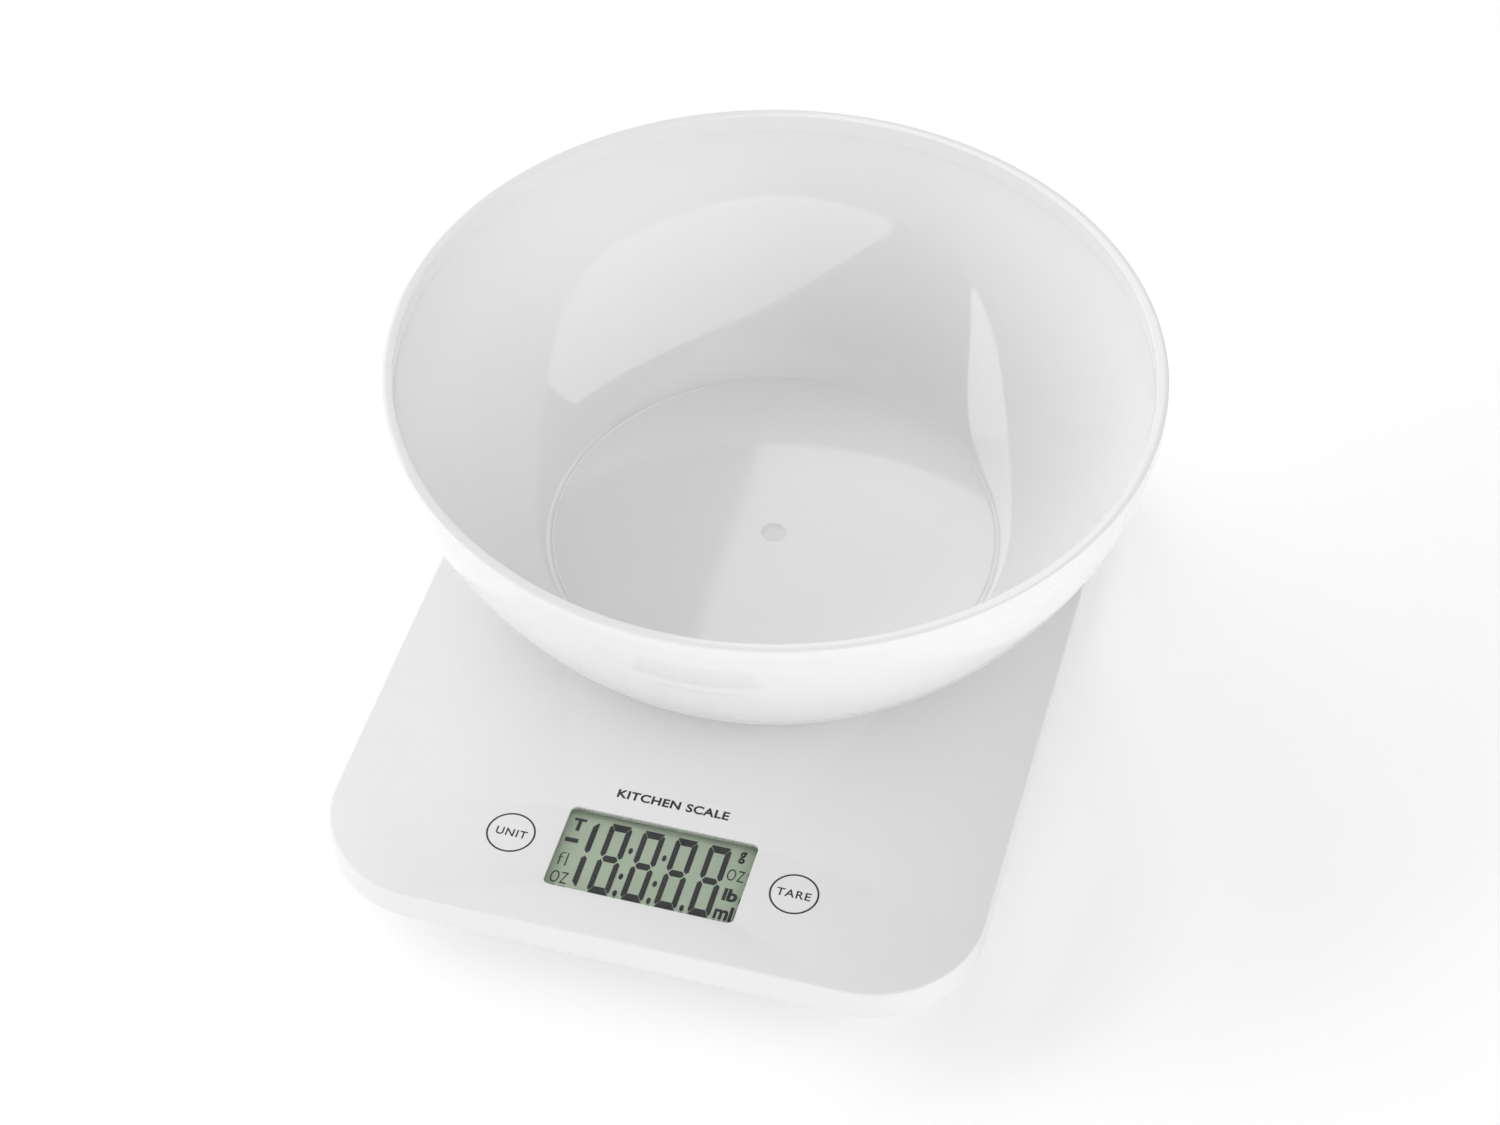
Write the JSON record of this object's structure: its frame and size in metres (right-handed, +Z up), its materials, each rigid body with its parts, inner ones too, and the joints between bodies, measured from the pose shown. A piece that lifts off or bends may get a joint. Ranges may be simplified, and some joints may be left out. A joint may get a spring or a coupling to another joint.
{
  "type": "kitchen scale",
  "caption": "Flat rectangular kitchen scale with a small display and touch keys at the front, and a round lift-off bowl on its platform.",
  "frame": {"origin": "on the surface that the scale stands on, under the middle of its outer box", "axes": "+Z up, +Y to the back, -Y to the front edge with the display, +X to the right"},
  "size_m": [0.1794, 0.2156, 0.0775],
  "materials": {
    "bowl_plastic": "white, glossy",
    "case_plastic": "white, satin with a very fine texture",
    "clear_window": "clear acrylic, smooth",
    "display_front_glass": "clear, faint green",
    "display_back_glass": "grey-green with near-black segments",
    "display_reflector": "grey-green reflecting film",
    "grey_rubber": "matt",
    "board_laminate": "green solder mask",
    "black_resin": "cast resin, slightly glossy",
    "plated_steel": "zinc or nickel plated",
    "spring_brass": "bright wire",
    "battery_skin": "printed sleeve without lettering",
    "gauge_silicone": "white silicone, satin",
    "lead_grey": "soft plastic insulation",
    "lead_red": "soft plastic insulation",
    "lead_black": "soft plastic insulation"
  },
  "bodies": {
    "case": {"top_shell": "case_plastic", "bottom_shell": "case_plastic", "display_lens": "clear_window", "lcd_front_glass": "display_front_glass", "lcd_back_glass": "display_back_glass", "lcd_reflector": "display_reflector", "lcd_frame": "case_plastic", "zebra_strip": "grey_rubber", "main_board": "board_laminate", "chip_cover": "black_resin", "capacitor": "plated_steel", "board_screw_left": "plated_steel", "board_screw_right": "plated_steel", "touch_spring_unit": "spring_brass", "touch_spring_tare": "spring_brass", "battery_front": "battery_skin", "battery_rear": "battery_skin", "contact_bridge": "plated_steel", "contact_positive": "plated_steel", "contact_negative": "plated_steel", "contact_spring_front": "plated_steel", "contact_spring_rear": "plated_steel", "battery_lead_positive": "lead_red", "battery_lead_negative": "lead_black", "case_screw_front_left": "plated_steel", "case_screw_front_right": "plated_steel", "case_screw_middle_left": "plated_steel", "case_screw_middle_right": "plated_steel", "case_screw_rear_left": "plated_steel", "case_screw_rear_right": "plated_steel", "load_cell_front_left": "plated_steel", "strain_gauge_front_left": "gauge_silicone", "cell_retainer_front_left": "case_plastic", "cell_lead_front_left": "lead_grey", "load_cell_front_right": "plated_steel", "strain_gauge_front_right": "gauge_silicone", "cell_retainer_front_right": "case_plastic", "cell_lead_front_right": "lead_grey", "load_cell_rear_left": "plated_steel", "strain_gauge_rear_left": "gauge_silicone", "cell_retainer_rear_left": "case_plastic", "cell_lead_rear_left": "lead_grey", "load_cell_rear_right": "plated_steel", "strain_gauge_rear_right": "gauge_silicone", "cell_retainer_rear_right": "case_plastic", "cell_lead_rear_right": "lead_grey"},
    "bowl": {"bowl": "bowl_plastic"},
    "battery_cover": {"battery_cover": "case_plastic"},
    "foot_front_left": {"foot_front_left": "case_plastic", "foot_pad_front_left": "grey_rubber"},
    "foot_front_right": {"foot_front_right": "case_plastic", "foot_pad_front_right": "grey_rubber"},
    "foot_rear_left": {"foot_rear_left": "case_plastic", "foot_pad_rear_left": "grey_rubber"},
    "foot_rear_right": {"foot_rear_right": "case_plastic", "foot_pad_rear_right": "grey_rubber"}
  },
  "joints": [
    {"name": "bowl_lift", "type": "slide", "parent": "case", "child": "bowl", "axis": [0, 0, 1], "range_m": [0, 0.12]},
    {"name": "battery_cover_tilt", "type": "hinge", "parent": "case", "child": "battery_cover", "pos_m": [0, -0.03103, 0.0026], "axis": [1, 0, 0], "range_deg": [0, 80]},
    {"name": "foot_travel_front_left", "type": "slide", "parent": "case", "child": "foot_front_left", "axis": [0, 0, 1], "range_m": [0, 0.0003], "stiffness_N_per_m": 41000},
    {"name": "foot_travel_front_right", "type": "slide", "parent": "case", "child": "foot_front_right", "axis": [0, 0, 1], "range_m": [0, 0.0003], "stiffness_N_per_m": 41000},
    {"name": "foot_travel_rear_left", "type": "slide", "parent": "case", "child": "foot_rear_left", "axis": [0, 0, 1], "range_m": [0, 0.0003], "stiffness_N_per_m": 41000},
    {"name": "foot_travel_rear_right", "type": "slide", "parent": "case", "child": "foot_rear_right", "axis": [0, 0, 1], "range_m": [0, 0.0003], "stiffness_N_per_m": 41000}
  ]
}
